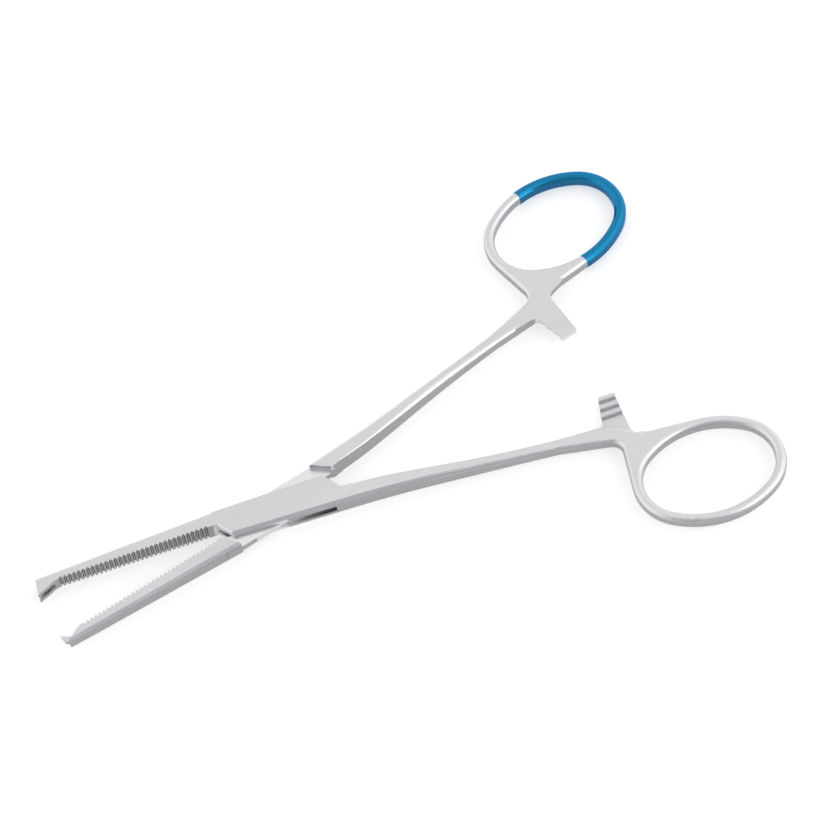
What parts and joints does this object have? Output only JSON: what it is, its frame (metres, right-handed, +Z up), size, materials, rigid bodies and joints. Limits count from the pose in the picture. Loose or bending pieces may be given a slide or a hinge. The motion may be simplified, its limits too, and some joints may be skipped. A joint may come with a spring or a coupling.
{
  "type": "hemostat forceps",
  "caption": "Straight steel artery forceps with finger rings, box-lock hinge, ratchet catch, cross-serrated jaws and interlocking tip teeth, lying slightly open.",
  "frame": {"origin": "where the pivot axis meets the underside of the box lock, on which the forceps rest", "axes": "+Z up along the pivot axis, +X along the open arms' middle line towards the finger rings, jaws at -X; the male half's ring is at +Y"},
  "size_m": [0.142, 0.0893, 0.0042],
  "materials": {
    "satin_steel": "satin ground stainless steel",
    "blue_lacquer": "thin glossy translucent colour coat"
  },
  "bodies": {
    "female_arm": {"female_half": "satin_steel", "pivot_pin": "satin_steel"},
    "male_arm": {"male_half": "satin_steel", "blue_coating": "blue_lacquer"}
  },
  "joints": [
    {"name": "box_lock", "type": "hinge", "parent": "female_arm", "child": "male_arm", "pos_m": [0, 0, 0.0021], "axis": [0, 0, 1], "range_deg": [-14.56, 45]}
  ]
}
